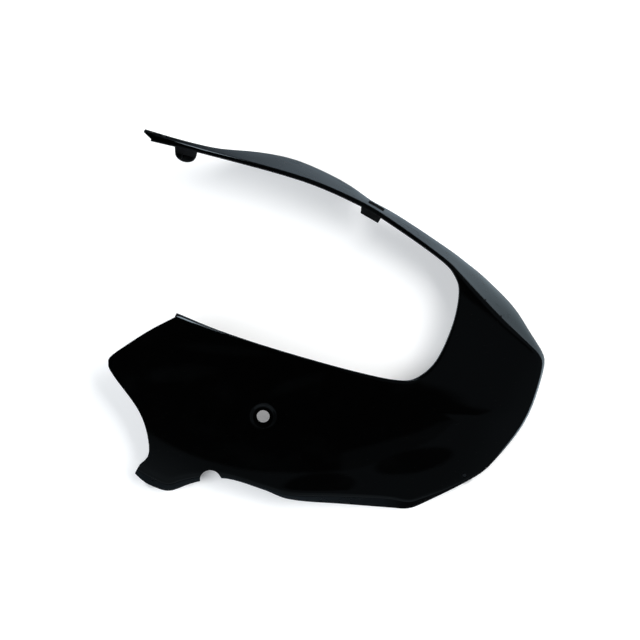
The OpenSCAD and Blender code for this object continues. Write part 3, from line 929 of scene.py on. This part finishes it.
def painted_floor_reflection(make, x, y):
    """Painted reflection of the floor, seen only in mirrors: painted shade darker to the rear, painted
    highlights paler in front and inside the opening, and painted shade nearly black below the belly."""
    colour = make.mix(make.between(x, 0.14, 0.33), PAINTED_REFLECTION_MIDDLE, PAINTED_REFLECTION_FRONT)
    colour = make.mix(make.between(x, -0.24, 0.0, 0.03, 1.0), PAINTED_SHADE_REFLECTION_REAR, colour)
    inside = make.product(make.between(make.line(x, y, 0.25, 1.0, 0.045), 0.0, 0.02),
                          make.between(y, 0.10, 0.14, 1.0, 0.0))
    inside = make.product(inside, make.between(x, 0.10, 0.14, 1.0, 0.0))
    colour = make.mix(inside, colour, PAINTED_HIGHLIGHT_REFLECTION_INSIDE)
    # Painted shade in the reflection: nearly black below the belly
    below = make.mix(make.between(x, 0.08, 0.12), PAINTED_SHADE_BELOW_REAR, PAINTED_SHADE_BELOW_FRONT)
    return make.mix(make.between(y, -0.22, -0.16, 1.0, 0.0), colour, below)


def floor_material(colours):
    """Pale floor: matt white that keeps the shadow, lifted a little for camera rays but for spots of painted
    shade, and dimmer in mirrors, with a painted reflection.
    """
    material, make = new_material("studio_floor")
    path = make.node("ShaderNodeLightPath").outputs
    place = make.node("ShaderNodeTexCoord").outputs["Object"]
    x, y, _ = make.node("ShaderNodeSeparateXYZ", Vector=place).outputs
    # Painted reflection: glossy rays see the floor in colours painted by place, not in its own white
    shade = make.mix(path["Is Glossy Ray"], tuple(colours.floor), painted_floor_reflection(make, x, y))
    matt = make.node("ShaderNodeBsdfDiffuse", Color=shade)
    seen = make.math("MAXIMUM", path["Is Camera Ray"], path["Is Transmission Ray"])
    lifted = make.product(seen, FLOOR_GLOW)
    # Painted shade: the floor's lift is taken away in spots under the rivet hole and the hook's slot
    for middle in PAINTED_SHADE_SPOTS:
        shade_spot = make.oval(x, y, middle, (PAINTED_SHADE_RADIUS, PAINTED_SHADE_RADIUS), 0.0)
        lifted = make.product(lifted, make.math("SUBTRACT", 1.0, shade_spot))
    glow = make.node("ShaderNodeEmission", Color=GLOW_COLOUR, Strength=lifted)
    both = make.node("ShaderNodeAddShader")
    make.put(matt.outputs[0], both.inputs[0])
    make.put(glow.outputs[0], both.inputs[1])
    make.node("ShaderNodeOutputMaterial", Surface=both.outputs[0])
    return material


# Cold light of the mirrored room and of the reflector card
ROOM_COLOUR = (0.72, 0.88, 1.0, 1)

# Dark blobs in the room's pale walls, and soft gleams in its dark ceiling: (middle, radii, turn)
WALL_BLOBS = (
    ((0.133, -0.276), (0.042, 0.015), 0.25),
    ((0.033, -0.308), (0.038, 0.0165), 0.1),
)
CEILING_GLEAMS = (
    ((0.008, -0.174), (0.030, 0.007), 0.45),
    ((-0.076, -0.128), (0.050, 0.006), -0.10),
    ((-0.13, -0.16), (0.040, 0.010), 0.1),
)


def pale_walls(make, ray, u, v, away):
    """1 where the room's pale walls show and 0 where its dark ceiling does. The ceiling ends on a slightly
    wavy circle. In front the walls come further in, with a gap and a dimmer step, and dark blobs lie in
    them."""
    wobble = make.noise(ray, 3.5, 1.5)
    edge = make.math("MULTIPLY_ADD", wobble, 0.02, make.math("SUBTRACT", away, 0.300))
    below = make.between(edge, -0.002, 0.002)
    front = make.product(make.between(make.line(u, v, 1.0, 0.55, 0.0), 0.040, 0.046),
                         make.between(make.line(u, v, -0.973, -1.0, 0.1205), -0.003, 0.003))
    gap = make.product(make.between(make.line(u, v, -0.33, -1.0, -0.1264), -0.006, 0.006),
                       make.between(make.math("ADD", v, 0.2125), -0.002, 0.002))
    front = make.product(front, make.math("SUBTRACT", 1.0, gap))
    step = make.product(make.between(u, 0.052, 0.060),
                        make.between(make.line(u, v, 0.32, -1.0, -0.2821), -0.003, 0.003, 0.0, 0.55))
    pale = make.math("MAXIMUM", make.math("MAXIMUM", below, front), step)
    for middle, radii, turn in WALL_BLOBS:
        blob = make.oval(u, v, middle, radii, turn)
        pale = make.product(pale, make.math("MULTIPLY_ADD", blob, -0.9, 1.0))
    return pale


def wall_level(make, u, v, away):
    """Light of the pale walls: dim away from the middle, lifted near the horizon, the hook and the nose."""
    level = make.between(away, 0.4, 0.55, 0.052, 0.03)
    level = make.math("MULTIPLY_ADD", make.between(away, 0.8, 1.0), 0.18, level)
    hook = make.product(make.between(make.line(u, v, -0.6, -1.0, 0.0), 0.33, 0.42),
                        make.between(make.line(u, v, 0.9, -1.0, 0.05), 0.0, 0.15))
    level = make.math("MULTIPLY_ADD", hook, 0.085, level)
    nose = make.between(make.line(u, v, 1.0, -0.5, 0.0), 0.31, 0.37)
    return make.math("MULTIPLY_ADD", nose, 0.028, level)


def ceiling_level(make, ray, u, v):
    """Light of the dark ceiling: streaks and soft gleams."""
    level = make.between(make.noise(ray, 11.0, 4.0, Roughness=0.65), 0.5, 0.75, 0.002, 0.016)
    for middle, radii, turn in CEILING_GLEAMS:
        gleam = make.oval(u, v, middle, radii, turn, 0.5)
        level = make.math("MULTIPLY_ADD", gleam, 0.014, level)
    return level


def surroundings(scene):
    """The room that the paint mirrors. A ray's x and y over 1 + z are the slopes u and v of the surface
    that throws it straight up, so the dark ceiling, its edge and the pale walls are drawn over them."""
    world = bpy.data.worlds.new("studio")
    world.use_nodes = True
    world.node_tree.nodes.clear()
    make = Sums(world.node_tree)
    ray = make.node("ShaderNodeTexCoord").outputs["Generated"]
    x, y, z = make.node("ShaderNodeSeparateXYZ", Vector=ray).outputs
    up = make.math("MAXIMUM", make.math("ADD", z, 1.0), 0.05)
    u, v = make.math("DIVIDE", x, up), make.math("DIVIDE", y, up)
    away = make.length(u, v)
    pale = pale_walls(make, ray, u, v, away)
    light = make.math("ADD", make.product(pale, wall_level(make, u, v, away)),
                      make.product(make.math("SUBTRACT", 1.0, pale), ceiling_level(make, ray, u, v)))
    seen = make.node("ShaderNodeLightPath").outputs["Is Camera Ray"]
    light = make.math("MAXIMUM", light, seen)
    glow = make.node("ShaderNodeBackground", Color=ROOM_COLOUR, Strength=light)
    make.node("ShaderNodeOutputWorld", Surface=glow.outputs["Background"])
    scene.world = world


def reflector_card():
    """Bright slanted card behind the panel that only mirrors see: it lights the lip at the rear corner."""
    above = 1.08
    corners = np.array([[-0.19, 0.66, above], [0.32, 2.25, above], [0.42, 2.25, above], [-0.11, 0.66, above]])
    material, make = new_material("reflector_card")
    glow = make.node("ShaderNodeEmission", Color=ROOM_COLOUR, Strength=7.0)
    make.node("ShaderNodeOutputMaterial", Surface=glow.outputs[0])
    card = grid_piece("reflector_card", corners, np.array([[0, 1, 2, 3]]), [material])
    card.visible_camera = card.visible_diffuse = card.visible_shadow = card.visible_transmission = False


def floor_sheet(colours):
    """The studio's floor: a square 12 m wide about the origin."""
    corners = np.column_stack([box_outline(-6, 6, -6, 6), np.zeros(4)])
    floor = grid_piece("floor", corners, np.array([[0, 1, 2, 3]]), [floor_material(colours)])


def soft_light(name, place, size, power, colour):
    """Square area light that faces the origin and stays out of the mirrored room."""
    lamp = bpy.data.lights.new(name, "AREA")
    lamp.shape = "SQUARE"
    lamp.size = size
    lamp.energy = power
    lamp.color = colour
    holder = bpy.data.objects.new(name, lamp)
    holder.location = place
    holder.rotation_euler = (-Vector(place)).to_track_quat("-Z", "Y").to_euler()
    holder.visible_glossy = False
    bpy.context.scene.collection.objects.link(holder)


def camera(scene):
    """Camera straight above the drawing's origin, 4 m up with a 960 mm wide floor in view."""
    above, view_width = 4.0, 0.96
    data = bpy.data.cameras.new("camera")
    data.sensor_width = 36.0
    data.lens = data.sensor_width * above / view_width
    data.clip_end = 30.0
    holder = bpy.data.objects.new("camera", data)
    holder.location = Loft(scene.fairing_sizes).to_frame(above * UP)
    scene.collection.objects.link(holder)
    scene.camera = holder


def shared_materials(scene):
    """The paint and the bare moulding, made once and shared by the pieces."""
    colours = scene.fairing_colours
    paint = bpy.data.materials.get("gloss_black_paint") or paint_material(colours)
    bare = bpy.data.materials.get("bare_moulding") or bare_material(colours)
    return paint, bare


class FAIRING_OT_skin(bpy.types.Operator):
    """Builds the painted skin with its dish, holes, notch and slots."""

    bl_idname = "fairing.skin"
    bl_label = "Panel skin"

    def execute(self, context):
        loft = Loft(context.scene.fairing_sizes)
        piece = skin_piece(loft, shared_materials(context.scene))
        cut(piece, holes(loft))
        finish_piece(piece, sharp_from=38)
        return {"FINISHED"}


class FAIRING_OT_tabs(bpy.types.Operator):
    """Builds the cup tab and the plain tab on the upper arm, and the ribs inside."""

    bl_idname = "fairing.tabs"
    bl_label = "Tabs and ribs"

    def execute(self, context):
        loft = Loft(context.scene.fairing_sizes)
        paint, bare = shared_materials(context.scene)
        materials = (bare, paint)
        for piece in (*cup_tab(loft, materials), plain_tab(loft, materials), ribs(loft, materials)):
            finish_piece(piece, sharp_from=30)
        return {"FINISHED"}


class FAIRING_OT_stage(bpy.types.Operator):
    """Builds the floor, the soft lights, the surroundings and the camera."""

    bl_idname = "fairing.stage"
    bl_label = "Studio stage"

    def execute(self, context):
        scene = context.scene
        floor_sheet(scene.fairing_colours)
        surroundings(scene)
        reflector_card()
        soft_light("key_light", (1.35, 0.8, 1.5), size=1.9, power=70, colour=(1.0, 0.99, 0.97))
        soft_light("fill_light", (-1.2, -0.5, 1.5), size=1.5, power=30, colour=(0.96, 0.98, 1.0))
        camera(scene)
        scene.view_settings.view_transform = "Standard"
        return {"FINISHED"}


class FAIRING_PT_panel(bpy.types.Panel):
    """Lists the operators, sizes and colours in the 3D view's sidebar."""

    bl_idname = "FAIRING_PT_panel"
    bl_label = "Fairing side panel"
    bl_space_type = "VIEW_3D"
    bl_region_type = "UI"
    bl_category = "Fairing"

    def draw(self, context):
        column = self.layout.column()
        for operator in OPERATORS:
            column.operator(operator.bl_idname)
        for group in (context.scene.fairing_sizes, context.scene.fairing_colours):
            for name in group.__annotations__:
                column.prop(group, name)


OPERATORS = (FAIRING_OT_skin, FAIRING_OT_tabs, FAIRING_OT_stage)
GROUPS = (PanelSizes, FinishColours)


def register():
    for item in (*GROUPS, *OPERATORS, FAIRING_PT_panel):
        bpy.utils.register_class(item)
    bpy.types.Scene.fairing_sizes = PointerProperty(type=PanelSizes)
    bpy.types.Scene.fairing_colours = PointerProperty(type=FinishColours)


def unregister():
    del bpy.types.Scene.fairing_colours
    del bpy.types.Scene.fairing_sizes
    for item in (FAIRING_PT_panel, *reversed(OPERATORS), *reversed(GROUPS)):
        bpy.utils.unregister_class(item)


def main():
    register()
    bpy.ops.fairing.skin()
    bpy.ops.fairing.tabs()
    bpy.ops.fairing.stage()


if __name__ == "__main__":
    main()
